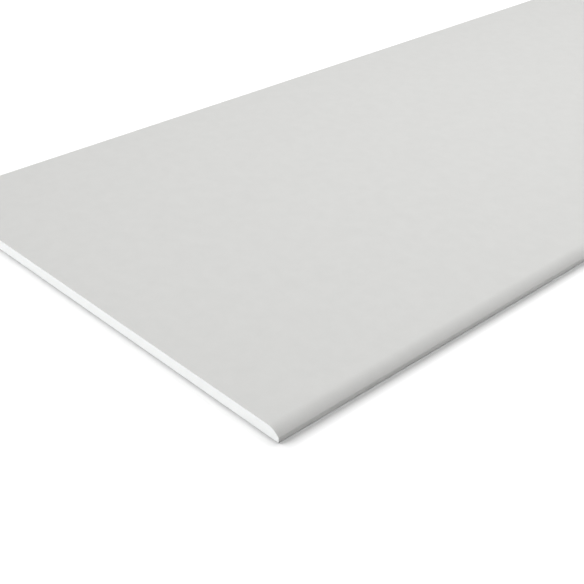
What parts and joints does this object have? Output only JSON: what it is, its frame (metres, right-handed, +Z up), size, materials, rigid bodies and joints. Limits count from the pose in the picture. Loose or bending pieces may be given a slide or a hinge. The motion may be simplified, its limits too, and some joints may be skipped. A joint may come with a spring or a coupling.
{
  "type": "drywall sheet",
  "caption": "Paper-faced gypsum wallboard sheet with half-round long edges and square-cut bare ends, lying flat.",
  "frame": {"origin": "middle of the back, which lies on the floor", "axes": "+X across the width, +Y along the length, +Z up out of the face"},
  "size_m": [0.625, 2, 0.0125],
  "materials": {
    "gypsum": "matte",
    "face_paper": "matte",
    "back_paper": "matte"
  },
  "bodies": {
    "root": {"gypsum_core": "gypsum", "face_paper": "face_paper", "back_paper": "back_paper"}
  },
  "joints": []
}
